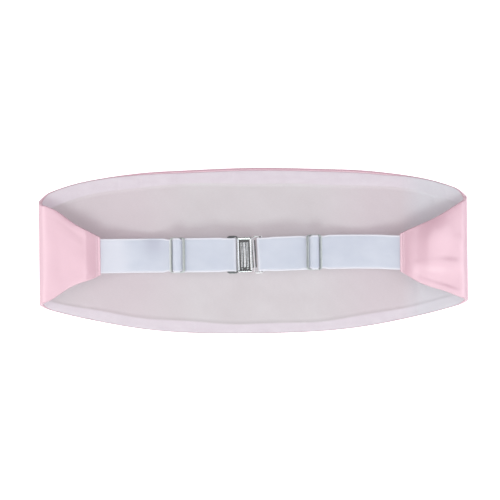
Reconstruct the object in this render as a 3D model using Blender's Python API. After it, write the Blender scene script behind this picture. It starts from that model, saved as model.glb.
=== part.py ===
"""A satin cummerbund, buckled and laid front down on a surface.

The front lies flat with its lining up. Both ends lift off the surface, roll over and come back above the
lining, where the two elastic straps leave them and meet in a hook and eye. Metres, +Z up, +X to the right of
someone who looks down at the lining, origin on the surface under the middle.
"""

import math

import bmesh
import bpy

MM = 0.001

# Cloth
HALF_WIDTH = 156.5 * MM        # from the middle to the outside of each rolled fold
SHELL_THICK = 1.0 * MM         # satin on its interfacing
HEM_THICK = 1.4 * MM           # the same with its turned-in edge beneath
LINING_THICK = 1.0 * MM
SEAM_GAP = 0.3 * MM            # between any two pieces that touch
RIM_WIDTH = 1.7 * MM           # satin that rolls over the edge of the lining
RIM_END_WIDTH = 0.9 * MM       # the same beside a strap's sewn end
RIM_ROUND = 0.6 * MM
HEM_TOP = 11.0 * MM            # width of the turned-in edge along the top
HEM_BOTTOM = 7.5 * MM          # and along the bottom
HEM_STEP = 1.2 * MM            # run of the slope from the hem down to the single cloth
FLAP_CROWN = 1.6 * MM          # how far the long edges of a folded end droop

# Lift and roll of each end, as stretches of cloth that turn by an angle
FOLD_RADIUS = 7.2 * MM
LIFT_LENGTH = 36 * MM
LIFT_TURN = 13
UNDER_TURN = 90 - LIFT_TURN
OVER_TURN = 86
LEVEL_TURN = 4
DIP_LENGTH = 14 * MM
DIP_TURN = 9
LEFT_LEVEL = 23.9 * MM         # length of the level stretch of each folded end
RIGHT_LEVEL = 28.4 * MM

# Straps and their fittings
ELASTIC_THICK = 1.0 * MM
ELASTIC_WIDTH = 25.0 * MM
CLASP_PINCH = 0.8 * MM         # how much narrower a strap is inside the clasp
SLIDER_PINCH = 2.2 * MM        # and where it crosses the level of its slider's frame
PINCH_NEAR = 5.0 * MM          # a pinch is full this close to its fitting
PINCH_FADE = 6.0 * MM          # and gone this much farther away
CROSSING_NEAR = 1.2 * MM       # the same above and below the level of the slider
CROSSING_FADE = 0.9 * MM
TUCK_LENGTH = 9.0 * MM         # strap sewn in between the satin and the lining
TUCK_EASE = 14.0 * MM          # run over which the lining makes room for it
STRAP_ROOM = ELASTIC_THICK + SEAM_GAP
STRAP_PITCH = ELASTIC_THICK + 0.4 * MM   # from one layer of a doubled strap to the next
TAIL_LENGTH = 6.0 * MM
WIRE_RADIUS = 0.6 * MM
WIRE_SIDES = 10
CORNER_STEPS = 4
SLIDER_LENGTH = 11.8 * MM
SLIDER_HEIGHT = 25.9 * MM
SLIDER_BAR = 2.0 * MM          # width of its outer bars, which are flattened
SLIDER_CLOSE = 1.75 * MM       # from the middle of an outer bar to the middle of the strap's wall
SLIDER_CORNER = 1.6 * MM       # all corner radii are those of the wire's middle line
CLASP_CORNER = 1.4 * MM
CLASP_HEIGHT = 27.6 * MM
CLASP_LEVEL = 12.6 * MM        # height of the clasp's wires above the surface
LOOP_RADIUS = 1.5 * MM         # middle of the strap's wall where it turns back

# Hook plate
PLATE_LENGTH = 11.1 * MM
PLATE_HEIGHT = 25.3 * MM
PLATE_LEFT = -11.9 * MM
PLATE_BASE = 0.8 * MM
PLATE_CORNER = 1.4 * MM
PLATE_RIM = 1.2 * MM
RIM_RISE = 0.6 * MM
RIM_SLOPE = 0.15 * MM
RIB_LENGTH = 18.6 * MM
RIB_PITCH = 2.05 * MM
RIB_ROUND = 0.4 * MM
TONGUE_HEIGHT = 20.0 * MM
TONGUE_THICK = 0.7 * MM
TONGUE_ROOT = 1.0 * MM         # from the eye's wire to where the tongue leaves the plate
TONGUE_LENGTH = 4.0 * MM       # of its root along the plate
TONGUE_TIP = -0.1 * MM         # height of its upturned tip, from the middle of the wires
BAIL_LEFT = -18.5 * MM         # middle of the hook's outer wire
BAIL_STRIP = -14.3 * MM        # how far the flat strip that the left strap goes round reaches from it
EYE_LEFT = 0.4 * MM
EYE_RIGHT = 6.6 * MM           # middle of the eye's outer wire
EYE_STRIP = 4.8 * MM           # the same for the right strap

SATIN = ("satin", (0.86, 0.61, 0.68, 1), 0.34, 0.0)
LINING = ("lining", (0.69, 0.62, 0.66, 1), 0.75, 0.0)
ELASTIC = ("elastic", (0.66, 0.69, 0.79, 1), 0.8, 0.0)
NICKEL = ("nickel", (0.72, 0.72, 0.73, 1), 0.18, 1.0)

RIB_ROWS = (
    {"place": -1, "width": 1.1, "rise": 0.40},
    {"place": 0, "width": 1.2, "rise": 0.55},
    {"place": 1, "width": 1.1, "rise": 0.40},
)

# Edges of the cut. place runs from 0 in the middle, through 1 at the outside of the fold, to 2 at the end
EDGE_ROWS = (
    {"place": -0.31, "top": 59.5, "bottom": 59.6},
    {"place": 0.00, "top": 60.8, "bottom": 60.8},
    {"place": 0.31, "top": 59.5, "bottom": 59.6},
    {"place": 0.53, "top": 57.6, "bottom": 56.0},
    {"place": 0.78, "top": 51.8, "bottom": 48.3},
    {"place": 0.93, "top": 44.6, "bottom": 42.2},
    {"place": 1.00, "top": 37.9, "bottom": 38.5},
    {"place": 1.20, "top": 32.6, "bottom": 35.2},
    {"place": 1.50, "top": 24.1, "bottom": 28.2},
    {"place": 1.75, "top": 17.4, "bottom": 22.5},
    {"place": 2.00, "top": 11.1, "bottom": 16.4},
)

# Middle line of the straps in plan
STRAP_ROWS = (
    {"x": -130, "y": -2.65},
    {"x": -60, "y": -2.7},
    {"x": -6, "y": -2.8},
    {"x": 8, "y": -2.7},
    {"x": 60, "y": -1.5},
    {"x": 90, "y": -1.8},
    {"x": 106, "y": -2.65},
    {"x": 130, "y": -2.65},
)

# Each strap's side view. along is the distance from the middle, negative on the way in
STRAPS = {
    "left": {
        "mirror": 1, "level": LEFT_LEVEL, "slider": (-55.4, 12.8), "slider_tilt": 14,
        "leave_radius": 55, "dip": (-86.0, 8.2), "dip_radius": 40,
        "hump": (-30.0, 15.4), "hump_radius": 18, "bar": -18.5, "loop_end": -14.4,
    },
    "right": {
        "mirror": -1, "level": RIGHT_LEVEL, "slider": (-44.4, 13.0), "slider_tilt": 12,
        "leave_radius": 55, "dip": (-78.0, 8.2), "dip_radius": 40,
        "hump": (-26.0, 15.6), "hump_radius": 18, "bar": -6.6, "loop_end": -4.9,
    },
}


def clear_scene():
    for thing in list(bpy.data.objects):
        bpy.data.objects.remove(thing, do_unlink=True)


def make_material(look):
    name, color, roughness, metallic = look
    found = bpy.data.materials.get(name) or bpy.data.materials.new(name)
    found.use_nodes = True
    shader = found.node_tree.nodes["Principled BSDF"]
    shader.inputs["Base Color"].default_value = color
    shader.inputs["Roughness"].default_value = roughness
    shader.inputs["Metallic"].default_value = metallic
    return found


def add_object(name, bm, look, sharp=35):
    bmesh.ops.recalc_face_normals(bm, faces=bm.faces)
    mesh = bpy.data.meshes.new(name)
    bm.to_mesh(mesh)
    bm.free()
    mesh.shade_smooth()
    mesh.set_sharp_from_angle(angle=math.radians(sharp))
    mesh.materials.append(make_material(look))
    made = bpy.data.objects.new(name, mesh)
    bpy.context.scene.collection.objects.link(made)
    return made


def join_solid(target, tool):
    """Fuses a hidden tool body into the target."""
    tool.hide_render = True
    tool.display_type = "WIRE"
    modifier = target.modifiers.new(tool.name, "BOOLEAN")
    modifier.operation = "UNION"
    modifier.solver = "EXACT"
    modifier.object = tool


def read_rows(rows, key, column, at):
    """A smooth curve through the rows of a table, read at one place."""
    last = len(rows) - 1
    row = 0
    while row < last - 1 and at > rows[row + 1][key]:
        row += 1

    def slope(index):
        low = rows[max(index - 1, 0)]
        high = rows[min(index + 1, last)]
        return (high[column] - low[column]) / (high[key] - low[key])

    start = rows[row]
    end = rows[row + 1]
    span = end[key] - start[key]
    t = (at - start[key]) / span
    rise = t * t * (3 - 2 * t)
    leave = t * (1 - t) ** 2 * span
    arrive = t * t * (t - 1) * span
    value = start[column] * (1 - rise) + end[column] * rise
    return value + slope(row) * leave + slope(row + 1) * arrive


def ease(t):
    t = min(max(t, 0.0), 1.0)
    return t * t * (3 - 2 * t)


SWELLS = {
    "even": lambda t: 1.0,
    "both": lambda t: math.sin(math.pi * t) ** 2,
    "in": lambda t: math.sin(math.pi * t / 2) ** 0.6,
    "out": lambda t: math.cos(math.pi * t / 2) ** 0.6,
}


def end_stretches(level):
    """The stretches of cloth from the flat front out to one end: name, length, turn, swell and steps."""
    return (
        ("lift", LIFT_LENGTH, LIFT_TURN, "both", 5),
        ("under", FOLD_RADIUS * math.radians(UNDER_TURN), UNDER_TURN, "in", 8),
        ("over", FOLD_RADIUS * math.radians(OVER_TURN), OVER_TURN, "out", 8),
        ("level", level, LEVEL_TURN, "even", 4),
        ("dip", DIP_LENGTH, DIP_TURN, "both", 5),
    )


def end_profile(level, flat_steps=9, fine=40):
    """Side view of half the cloth, as stations on its outer face from the middle to the end.

    A station holds out and z, its angle, the run of cloth up to it and its place in the edge table.
    """
    out = 0.0
    z = 0.0
    angle = 0.0
    run = 0.0
    raised = [(out, z, angle, run)]
    widest = 0
    for name, length, turn, swell, steps in end_stretches(level):
        pieces = steps * fine
        weights = [SWELLS[swell]((i + 0.5) / pieces) for i in range(pieces)]
        share = math.radians(turn) / sum(weights)
        part = length / pieces
        for i, weight in enumerate(weights):
            middle = angle + share * weight / 2
            out += part * math.cos(middle)
            z += part * math.sin(middle)
            angle += share * weight
            run += part
            if (i + 1) % fine == 0:
                raised.append((out, z, angle, run))
        if name == "under":
            widest = len(raised) - 1
    flat = HALF_WIDTH - raised[widest][0]
    stations = [(flat * i / flat_steps, 0.0, 0.0, flat * i / flat_steps) for i in range(flat_steps)]
    stations += [(flat + o, height, turned, flat + r) for o, height, turned, r in raised]
    fold_run = flat + raised[widest][3]
    end_run = stations[-1][3]
    profile = []
    for o, height, turned, r in stations:
        place = r / fold_run if r <= fold_run else 1 + (r - fold_run) / (end_run - fold_run)
        profile.append({"out": o, "z": height, "angle": turned, "left_over": end_run - r, "place": place})
    return profile


def cloth_profile():
    """Side view of the whole cloth from the left end to the right end."""
    left = []
    for station in reversed(end_profile(LEFT_LEVEL)[1:]):
        left.append(dict(station, x=-station["out"], side=-1))
    right = []
    for station in end_profile(RIGHT_LEVEL):
        right.append(dict(station, x=station["out"], side=1))
    return left + right


def tuck_share(left_over):
    """How far the lining has left the satin, from 0 to 1, to let in the strap's sewn end."""
    return ease((TUCK_LENGTH + TUCK_EASE - left_over) / TUCK_EASE)


def crown(station, y):
    """Droop of a folded end's long edges, towards the lining."""
    place = station["place"]
    if place <= 1:
        return 0.0
    top = read_rows(EDGE_ROWS, "place", "top", place) * MM
    bottom = read_rows(EDGE_ROWS, "place", "bottom", place) * MM
    middle = (top - bottom) / 2
    reach = (y - middle) / ((top + bottom) / 2)
    return FLAP_CROWN * math.sin(math.pi * (place - 1)) ** 2 * reach ** 4


def cloth_point(station, y, offset):
    """The point at y on a station, moved off the outer face towards the lining."""
    offset += crown(station, y)
    x = station["x"] - station["side"] * offset * math.sin(station["angle"])
    return (x, y, station["z"] + offset * math.cos(station["angle"]))


def rim_width(tucked):
    return RIM_WIDTH + tucked * (RIM_END_WIDTH - RIM_WIDTH)


def shell_section(top, bottom, tucked):
    """Pairs of (y, offset) on the outer and inner face, from the bottom edge to the top edge."""
    rim = HEM_THICK + SEAM_GAP + LINING_THICK + tucked * STRAP_ROOM
    width = rim_width(tucked)
    pairs = []
    for edge, hem, inwards in ((-bottom, HEM_BOTTOM, 1), (top, HEM_TOP, -1)):
        half = [
            ((edge, RIM_ROUND), (edge, rim - RIM_ROUND)),
            ((edge + inwards * RIM_ROUND, 0.0), (edge + inwards * RIM_ROUND, rim)),
            ((edge + inwards * width, 0.0), (edge + inwards * width, rim)),
            ((edge + inwards * (width + SEAM_GAP), 0.0), (edge + inwards * width, HEM_THICK)),
            ((edge + inwards * hem, 0.0), (edge + inwards * hem, HEM_THICK)),
            ((edge + inwards * (hem + HEM_STEP), 0.0), (edge + inwards * (hem + HEM_STEP), SHELL_THICK)),
        ]
        pairs += half if inwards == 1 else reversed(half)
    return pairs


def lining_section(top, bottom, tucked):
    """The same for the lining, which follows the inner face of the satin or lies under the strap."""
    pairs = []
    for edge, hem, inwards in ((-bottom, HEM_BOTTOM, 1), (top, HEM_TOP, -1)):
        levels = (
            (rim_width(tucked) + SEAM_GAP, HEM_THICK),
            (hem + SEAM_GAP, HEM_THICK),
            (hem + SEAM_GAP + HEM_STEP, SHELL_THICK),
        )
        half = []
        for inset, under in levels:
            y = edge + inwards * inset
            low = under + tucked * (HEM_THICK - under + STRAP_ROOM) + SEAM_GAP
            half.append(((y, low), (y, low + LINING_THICK)))
        pairs += half if inwards == 1 else reversed(half)
    return pairs


def loft_pairs(bm, rows):
    """A closed wall through rows of (under point, over point) pairs, with both ends closed."""
    under = [[bm.verts.new(low) for low, high in row] for row in rows]
    over = [[bm.verts.new(high) for low, high in row] for row in rows]
    last = len(rows) - 1
    wide = len(rows[0]) - 1
    for i in range(last):
        for j in range(wide):
            bm.faces.new((under[i][j], under[i][j + 1], under[i + 1][j + 1], under[i + 1][j]))
            bm.faces.new((over[i][j], over[i + 1][j], over[i + 1][j + 1], over[i][j + 1]))
        bm.faces.new((under[i][0], under[i + 1][0], over[i + 1][0], over[i][0]))
        bm.faces.new((under[i][wide], over[i][wide], over[i + 1][wide], under[i + 1][wide]))
    for j in range(wide):
        bm.faces.new((under[0][j], over[0][j], over[0][j + 1], under[0][j + 1]))
        bm.faces.new((under[last][j], under[last][j + 1], over[last][j + 1], over[last][j]))


def make_cloth(name, section, look):
    """A length of cloth that follows the whole profile with the given section."""
    rows = []
    for station in cloth_profile():
        top = read_rows(EDGE_ROWS, "place", "top", station["place"]) * MM
        bottom = read_rows(EDGE_ROWS, "place", "bottom", station["place"]) * MM
        row = []
        for low, high in section(top, bottom, tuck_share(station["left_over"])):
            row.append((cloth_point(station, *low), cloth_point(station, *high)))
        rows.append(row)
    bm = bmesh.new()
    loft_pairs(bm, rows)
    return add_object(name, bm, look, sharp=50)


def heading(angle):
    return (math.cos(angle), math.sin(angle))


def belt(start, start_angle, pegs, tail, longest=5 * MM, turn_step=math.radians(24)):
    """A strap's middle line round pegs: (x, z, angle) from a start point and direction.

    A peg is (x, z, radius, side), with side 1 where the peg is on the strap's left. The first peg is
    (radius, side), and touches the start.
    """
    radius, side = pegs[0]
    ahead = heading(start_angle)
    first = (start[0] - side * radius * ahead[1], start[1] + side * radius * ahead[0], radius, side)
    circles = [first] + list(pegs[1:])
    line = [(start[0], start[1], start_angle)]
    angle = start_angle
    for number, (x, z, radius, side) in enumerate(circles[:-1]):
        next_x, next_z, next_radius, next_side = circles[number + 1]
        span = math.hypot(next_x - x, next_z - z)
        leaving = math.atan2(next_z - z, next_x - x)
        leaving -= math.asin((next_side * next_radius - side * radius) / span)
        turn = (leaving - angle + math.pi) % (2 * math.pi) - math.pi
        if abs(turn) > 0.01 and turn * side < 0:
            turn += side * 2 * math.pi
        steps = max(1, math.ceil(abs(turn) / turn_step), math.ceil(abs(turn) * radius / longest))
        for i in range(1, steps + 1):
            at = angle + turn * i / steps
            ahead = heading(at)
            line.append((x + side * radius * ahead[1], z - side * radius * ahead[0], at))
        angle += turn
        ahead = heading(angle)
        straight = math.sqrt(max(span ** 2 - (next_side * next_radius - side * radius) ** 2, 0.0))
        if number == len(circles) - 2:
            straight = tail
        steps = max(1, math.ceil(straight / longest))
        from_x, from_z, _ = line[-1]
        for i in range(1, steps + 1):
            run = straight * i / steps
            line.append((from_x + run * ahead[0], from_z + run * ahead[1], angle))
    return line


def slider_bar(strap, number):
    """Where a slider's bar is in side view: -1 the outer bar, 0 the middle one, 1 the inner one."""
    x, z = strap["slider"]
    reach = number * (SLIDER_LENGTH - SLIDER_BAR) / 2
    ahead = heading(math.radians(strap["slider_tilt"]))
    return (x * MM + reach * ahead[0], z * MM + reach * ahead[1])


def strap_line(strap):
    """Side view of a strap's middle line, going in from the folded end and back to the slider."""
    close = WIRE_RADIUS + SEAM_GAP + ELASTIC_THICK / 2
    profile = end_profile(strap["level"])
    offset = HEM_THICK + SEAM_GAP + ELASTIC_THICK / 2
    tucked = []
    for station in profile:
        if station["left_over"] <= TUCK_LENGTH:
            x = -station["out"] + offset * math.sin(station["angle"])
            z = station["z"] + offset * math.cos(station["angle"])
            tucked.append((x, z, math.pi - station["angle"]))
    x, z, angle = tucked[-1]
    dip_x, dip_z = strap["dip"]
    dip_radius = strap["dip_radius"] * MM
    hump_x, hump_z = strap["hump"]
    hump_radius = strap["hump_radius"] * MM
    hump = (hump_x * MM, hump_z * MM - hump_radius)
    outer = slider_bar(strap, -1)
    middle = slider_bar(strap, 0)
    inner = slider_bar(strap, 1)
    pegs = [
        (strap["leave_radius"] * MM, -1),
        (dip_x * MM, dip_z * MM + dip_radius, dip_radius, 1),
        (*outer, SLIDER_CLOSE, 1),
        (*middle, close + STRAP_PITCH, -1),
        (*inner, SLIDER_CLOSE, 1),
        (*hump, hump_radius, -1),
        (strap["loop_end"] * MM, CLASP_LEVEL, LOOP_RADIUS, -1),
        (strap["bar"] * MM, CLASP_LEVEL, close, -1),
        (*hump, hump_radius - STRAP_PITCH, 1),
        (*inner, SLIDER_CLOSE + STRAP_PITCH, -1),
        (*middle, close, 1),
        (*inner, SLIDER_CLOSE + 2 * STRAP_PITCH, 1),
        (*hump, hump_radius - 2 * STRAP_PITCH, -1),
    ]
    return tucked[:-1] + belt((x, z), angle, pegs, TAIL_LENGTH)


def strap_middle(x):
    return read_rows(STRAP_ROWS, "x", "y", x / MM) * MM


def strap_half_width(strap, along, z):
    """Half the width of a strap, which its slider and the clasp pinch a little."""
    slider_x, slider_z = slider_bar(strap, 0)
    near_clasp = ease(1 - (abs(along - strap["loop_end"] * MM) - PINCH_NEAR) / PINCH_FADE)
    near_slider = ease(1 - (abs(along - slider_x) - PINCH_NEAR) / PINCH_FADE)
    level = slider_z + (along - slider_x) * math.tan(math.radians(strap["slider_tilt"]))
    crossing = ease(1 - (abs(z - level) - CROSSING_NEAR) / CROSSING_FADE)
    return (ELASTIC_WIDTH - CLASP_PINCH * near_clasp - SLIDER_PINCH * near_slider * crossing) / 2


def make_strap(name, strap):
    rows = []
    for along, z, angle in strap_line(strap):
        half = strap_half_width(strap, along, z)
        across = ELASTIC_THICK / 2
        low = (along + across * math.sin(angle), z - across * math.cos(angle))
        high = (along - across * math.sin(angle), z + across * math.cos(angle))
        row = []
        for y in (-half, half):
            pair = []
            for px, pz in (low, high):
                x = strap["mirror"] * px
                pair.append((x, strap_middle(strap["mirror"] * along) + y, pz))
            row.append(tuple(pair))
        rows.append(row)
    bm = bmesh.new()
    loft_pairs(bm, rows)
    return add_object(name, bm, ELASTIC)


def rounded_rectangle(length, height, corner, steps=CORNER_STEPS):
    """Points of a rounded rectangle about the origin, with the outward direction at each."""
    points = []
    for quarter in range(4):
        sign_x = 1 if quarter in (0, 3) else -1
        sign_y = 1 if quarter in (0, 1) else -1
        for i in range(steps + 1):
            angle = math.pi / 2 * (quarter + i / steps)
            x = sign_x * (length / 2 - corner) + corner * math.cos(angle)
            y = sign_y * (height / 2 - corner) + corner * math.sin(angle)
            points.append((x, y, angle))
    return points


def add_wire_ring(bm, length, height, corner, left=0.0, bar=2 * WIRE_RADIUS):
    """A closed wire round a rounded rectangle in the XY plane, with its two bars along Y as wide as bar."""
    rings = []
    for x, y, angle in rounded_rectangle(length, height, corner):
        ring = []
        half = WIRE_RADIUS + (bar / 2 - WIRE_RADIUS) * math.cos(angle) ** 2
        for i in range(WIRE_SIDES):
            turn = 2 * math.pi * i / WIRE_SIDES
            reach = half * math.cos(turn)
            place = (left + x + reach * math.cos(angle), y + reach * math.sin(angle), WIRE_RADIUS * math.sin(turn))
            ring.append(bm.verts.new(place))
        rings.append(ring)
    for i, ring in enumerate(rings):
        after = rings[(i + 1) % len(rings)]
        for j in range(WIRE_SIDES):
            k = (j + 1) % WIRE_SIDES
            bm.faces.new((ring[j], ring[k], after[k], after[j]))


def add_prism(bm, outline, low, high, axis):
    """A prism on a 2-D outline, along Z or along Y."""
    def place(a, b, c):
        return (a, b, c) if axis == "Z" else (a, c, b)

    bottom = [bm.verts.new(place(a, b, low)) for a, b in outline]
    top = [bm.verts.new(place(a, b, high)) for a, b in outline]
    count = len(outline)
    for i in range(count):
        k = (i + 1) % count
        bm.faces.new((bottom[i], bottom[k], top[k], top[i]))
    bm.faces.new(list(reversed(bottom)))
    return bm.faces.new(top)


def add_round_strip(bm, left, right, length):
    """A flat strip along Y, as thick as the wire and with round edges about the lines at left and right."""
    outline = []
    for middle, start in ((left, math.pi / 2), (right, -math.pi / 2)):
        for i in range(WIRE_SIDES // 2 + 1):
            turn = start + math.pi * i / (WIRE_SIDES // 2)
            outline.append((middle + WIRE_RADIUS * math.cos(turn), WIRE_RADIUS * math.sin(turn)))
    add_prism(bm, outline, -length / 2, length / 2, "Y")


def make_slider(name, strap):
    """A wire frame with a middle bar, tilted as the strap carries it."""
    bm = bmesh.new()
    add_wire_ring(
        bm, SLIDER_LENGTH - SLIDER_BAR, SLIDER_HEIGHT - 2 * WIRE_RADIUS, SLIDER_CORNER, bar=SLIDER_BAR
    )
    frame = add_object(name, bm, NICKEL, sharp=60)
    bm = bmesh.new()
    bar = []
    for i in range(WIRE_SIDES):
        turn = 2 * math.pi * i / WIRE_SIDES
        bar.append((WIRE_RADIUS * math.cos(turn), WIRE_RADIUS * math.sin(turn)))
    half = SLIDER_HEIGHT / 2 - WIRE_RADIUS
    add_prism(bm, bar, -half, half, "Y")
    middle_bar = add_object(name + "_bar", bm, NICKEL, sharp=60)
    join_solid(frame, middle_bar)
    x, z = slider_bar(strap, 0)
    for thing in (frame, middle_bar):
        thing.location = (strap["mirror"] * x, strap_middle(strap["mirror"] * x), z)
        thing.rotation_euler = (0, -strap["mirror"] * math.radians(strap["slider_tilt"]), 0)
    return frame


def make_hook():
    """The stamped plate with a sunk, ribbed face, its bail with a flat strip, and the tongue."""
    middle = PLATE_LEFT + PLATE_LENGTH / 2
    bm = bmesh.new()
    outline = [(x, y) for x, y, angle in rounded_rectangle(PLATE_LENGTH, PLATE_HEIGHT, PLATE_CORNER)]
    face = add_prism(bm, outline, -PLATE_BASE / 2, PLATE_BASE / 2 + RIM_RISE, "Z")
    bmesh.ops.inset_region(bm, faces=[face], thickness=PLATE_RIM)
    bmesh.ops.inset_region(bm, faces=[face], thickness=RIM_SLOPE)
    for corner in face.verts:
        corner.co.z -= RIM_RISE
    hook = add_object("hook", bm, NICKEL)

    bm = bmesh.new()
    for row in RIB_ROWS:
        rib = []
        for x, y, angle in rounded_rectangle(row["width"] * MM, RIB_LENGTH, RIB_ROUND, steps=2):
            rib.append((row["place"] * RIB_PITCH + x, y))
        add_prism(bm, rib, 0.0, PLATE_BASE / 2 + row["rise"] * MM, "Z")
    ribs = add_object("hook_ribs", bm, NICKEL)

    bm = bmesh.new()
    bail_right = PLATE_LEFT + WIRE_RADIUS
    bail_middle = (BAIL_LEFT + bail_right) / 2 - middle
    wire_height = CLASP_HEIGHT - 2 * WIRE_RADIUS
    add_wire_ring(bm, bail_right - BAIL_LEFT, wire_height, CLASP_CORNER, left=bail_middle)
    bail = add_object("hook_bail", bm, NICKEL)

    bm = bmesh.new()
    add_round_strip(bm, BAIL_LEFT - middle, BAIL_STRIP - middle, wire_height)
    strip = add_object("hook_strip", bm, NICKEL)

    bm = bmesh.new()
    bar_left = EYE_LEFT - WIRE_RADIUS - middle
    bar_right = EYE_LEFT + WIRE_RADIUS - middle
    floor = -WIRE_RADIUS - SEAM_GAP
    tip = bar_right + SEAM_GAP
    root = bar_left - TONGUE_ROOT
    tongue = (
        (root - TONGUE_LENGTH, 0.0),
        (root - TONGUE_LENGTH, floor - TONGUE_THICK),
        (tip + TONGUE_THICK, floor - TONGUE_THICK),
        (tip + TONGUE_THICK, TONGUE_TIP),
        (tip, TONGUE_TIP),
        (tip, floor),
        (root, floor),
        (root, 0.0),
    )
    add_prism(bm, tongue, -TONGUE_HEIGHT / 2, TONGUE_HEIGHT / 2, "Y")
    tongue_solid = add_object("hook_tongue", bm, NICKEL)

    for thing in (hook, ribs, bail, strip, tongue_solid):
        thing.location = (middle, strap_middle(middle), CLASP_LEVEL)
    for tool in (ribs, bail, strip, tongue_solid):
        join_solid(hook, tool)
    return hook


def make_eye():
    middle = (EYE_LEFT + EYE_RIGHT) / 2
    wire_height = CLASP_HEIGHT - 2 * WIRE_RADIUS
    bm = bmesh.new()
    add_wire_ring(bm, EYE_RIGHT - EYE_LEFT, wire_height, CLASP_CORNER)
    eye = add_object("eye", bm, NICKEL, sharp=60)
    bm = bmesh.new()
    add_round_strip(bm, EYE_STRIP - middle, EYE_RIGHT - middle, wire_height)
    strip = add_object("eye_strip", bm, NICKEL, sharp=60)
    for thing in (eye, strip):
        thing.location = (middle, strap_middle(middle), CLASP_LEVEL)
    join_solid(eye, strip)
    return eye


def main():
    clear_scene()
    make_cloth("shell", shell_section, SATIN)
    make_cloth("lining", lining_section, LINING)
    for side, strap in STRAPS.items():
        make_strap("elastic_" + side, strap)
        make_slider("slider_" + side, strap)
    make_hook()
    make_eye()


main()
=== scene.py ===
"""A satin cummerbund, buckled and laid front down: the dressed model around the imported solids."""

from functools import partial
from math import asin, atan2, ceil, copysign, cos, hypot, pi, radians, sin, sqrt, tan

import bmesh
import bpy
import numpy as np
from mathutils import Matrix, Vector


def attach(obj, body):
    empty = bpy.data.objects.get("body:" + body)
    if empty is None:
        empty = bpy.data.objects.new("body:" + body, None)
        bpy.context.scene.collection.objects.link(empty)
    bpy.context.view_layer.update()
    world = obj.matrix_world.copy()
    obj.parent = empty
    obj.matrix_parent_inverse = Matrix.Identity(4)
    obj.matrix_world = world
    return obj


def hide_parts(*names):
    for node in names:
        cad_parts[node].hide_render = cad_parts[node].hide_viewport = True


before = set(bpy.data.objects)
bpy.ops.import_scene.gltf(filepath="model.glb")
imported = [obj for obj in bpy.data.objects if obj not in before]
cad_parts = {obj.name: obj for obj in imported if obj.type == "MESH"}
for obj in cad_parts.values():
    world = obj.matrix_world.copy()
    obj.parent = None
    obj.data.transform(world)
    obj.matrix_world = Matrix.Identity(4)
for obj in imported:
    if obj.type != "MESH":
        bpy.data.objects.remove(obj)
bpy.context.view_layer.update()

MM = 0.001

# Sizes; those of the solids are the same as in the part's source
HALF_WIDTH = 156.5 * MM
SHELL_THICK = 1.0 * MM
HEM_THICK = 1.4 * MM
LINING_THICK = 1.0 * MM
SEAM_GAP = 0.3 * MM
RIM_WIDTH = 1.7 * MM
RIM_END_WIDTH = 0.9 * MM
RIM_ROUND = 0.6 * MM
HEM_TOP = 11.0 * MM
HEM_BOTTOM = 7.5 * MM
HEM_STEP = 1.2 * MM
FLAP_CROWN = 1.6 * MM
FOLD_RADIUS = 7.2 * MM
LIFT_LENGTH = 36 * MM
LIFT_TURN = 13
UNDER_TURN = 90 - LIFT_TURN
OVER_TURN = 86
LEVEL_TURN = 4
DIP_LENGTH = 14 * MM
DIP_TURN = 9
LEFT_LEVEL = 23.9 * MM
RIGHT_LEVEL = 28.4 * MM
ELASTIC_THICK = 1.0 * MM
ELASTIC_WIDTH = 25.0 * MM
CLASP_PINCH = 0.8 * MM
SLIDER_PINCH = 2.2 * MM
PINCH_NEAR = 5.0 * MM
PINCH_FADE = 6.0 * MM
CROSSING_NEAR = 1.2 * MM
CROSSING_FADE = 0.9 * MM
TUCK_LENGTH = 9.0 * MM
TUCK_EASE = 14.0 * MM
STRAP_ROOM = ELASTIC_THICK + SEAM_GAP
STRAP_PITCH = ELASTIC_THICK + 0.4 * MM
TAIL_LENGTH = 6.0 * MM
WIRE_RADIUS = 0.6 * MM
SLIDER_LENGTH = 11.8 * MM
SLIDER_HEIGHT = 25.9 * MM
SLIDER_BAR = 2.0 * MM
SLIDER_CLOSE = 1.75 * MM
SLIDER_CORNER = 1.6 * MM
CLASP_CORNER = 1.4 * MM
CLASP_HEIGHT = 27.6 * MM
CLASP_LEVEL = 12.6 * MM
CLASP_WIRE = CLASP_HEIGHT - 2 * WIRE_RADIUS
LOOP_RADIUS = 1.5 * MM
PLATE_LENGTH = 11.1 * MM
PLATE_HEIGHT = 25.3 * MM
PLATE_LEFT = -11.9 * MM
PLATE_BASE = 0.8 * MM
PLATE_CORNER = 1.4 * MM
LEAST_CORNER = 0.12 * MM
RIM_RISE = 0.6 * MM
RIB_LENGTH = 18.6 * MM
RIB_PITCH = 2.05 * MM
RIB_CORNER = 0.5 * MM
RIB_CLEAR = 0.02 * MM
DOT_WIDTH = 0.9 * MM
DOT_GAP = 0.75 * MM
TONGUE_HEIGHT = 20.0 * MM
TONGUE_THICK = 0.7 * MM
TONGUE_ROOT = 1.0 * MM
TONGUE_LENGTH = 4.0 * MM
TONGUE_TIP = -0.1 * MM
BAIL_LEFT = -18.5 * MM
BAIL_STRIP = -14.3 * MM
BAIL_OVERLAP = 0.25 * MM
EYE_LEFT = 0.4 * MM
EYE_RIGHT = 6.6 * MM
EYE_STRIP = 4.8 * MM
PLATE_LEAN = 1.3
EYE_LEAN = 3.0


def table(names, *rows):
    """Rows of values under their column names."""
    return [dict(zip(names.split(), row)) for row in rows]


# Half of the front's height, in mm
# Distance from the cloth's middle line to its long edges, in mm; place 0 is the middle of the
# front, 1 a fold and 2 an end
EDGE_ROWS = table(
    "place top bottom",
    (-0.31, 59.5, 59.6), (0.0, 60.8, 60.8), (0.31, 59.5, 59.6), (0.53, 57.6, 56.0),
    (0.78, 51.8, 48.3), (0.93, 44.6, 42.2), (1.0, 37.9, 38.5), (1.2, 32.6, 35.2),
    (1.5, 24.1, 28.2), (1.75, 17.4, 22.5), (2.0, 11.1, 16.4),
)
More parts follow.
